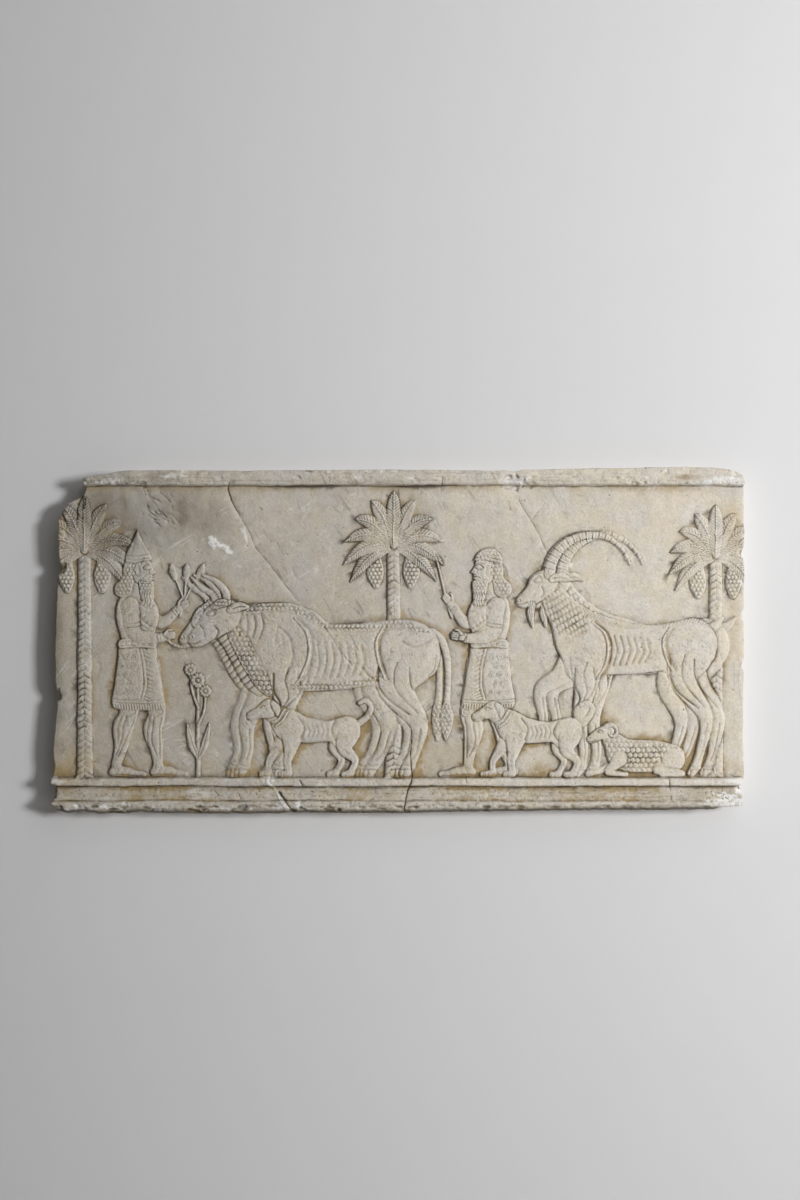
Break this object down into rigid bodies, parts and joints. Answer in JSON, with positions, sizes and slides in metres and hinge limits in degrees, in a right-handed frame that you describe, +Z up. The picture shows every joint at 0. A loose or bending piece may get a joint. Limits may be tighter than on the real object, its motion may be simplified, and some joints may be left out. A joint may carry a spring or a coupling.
{
  "type": "plaster wall relief",
  "caption": "Oblong plaster cast wall relief with a moulding above and below, carved with a frieze of people, beasts and palms, worn and chipped.",
  "frame": {"origin": "middle of the flat back, where the slab lies against the wall", "axes": "+X to the right seen from the front, +Z up, -Y out of the wall towards the viewer"},
  "size_m": [1.2, 0.059, 0.601],
  "materials": {
    "plaster": "matte"
  },
  "bodies": {
    "root": {"relief_slab": "plaster"}
  },
  "joints": []
}
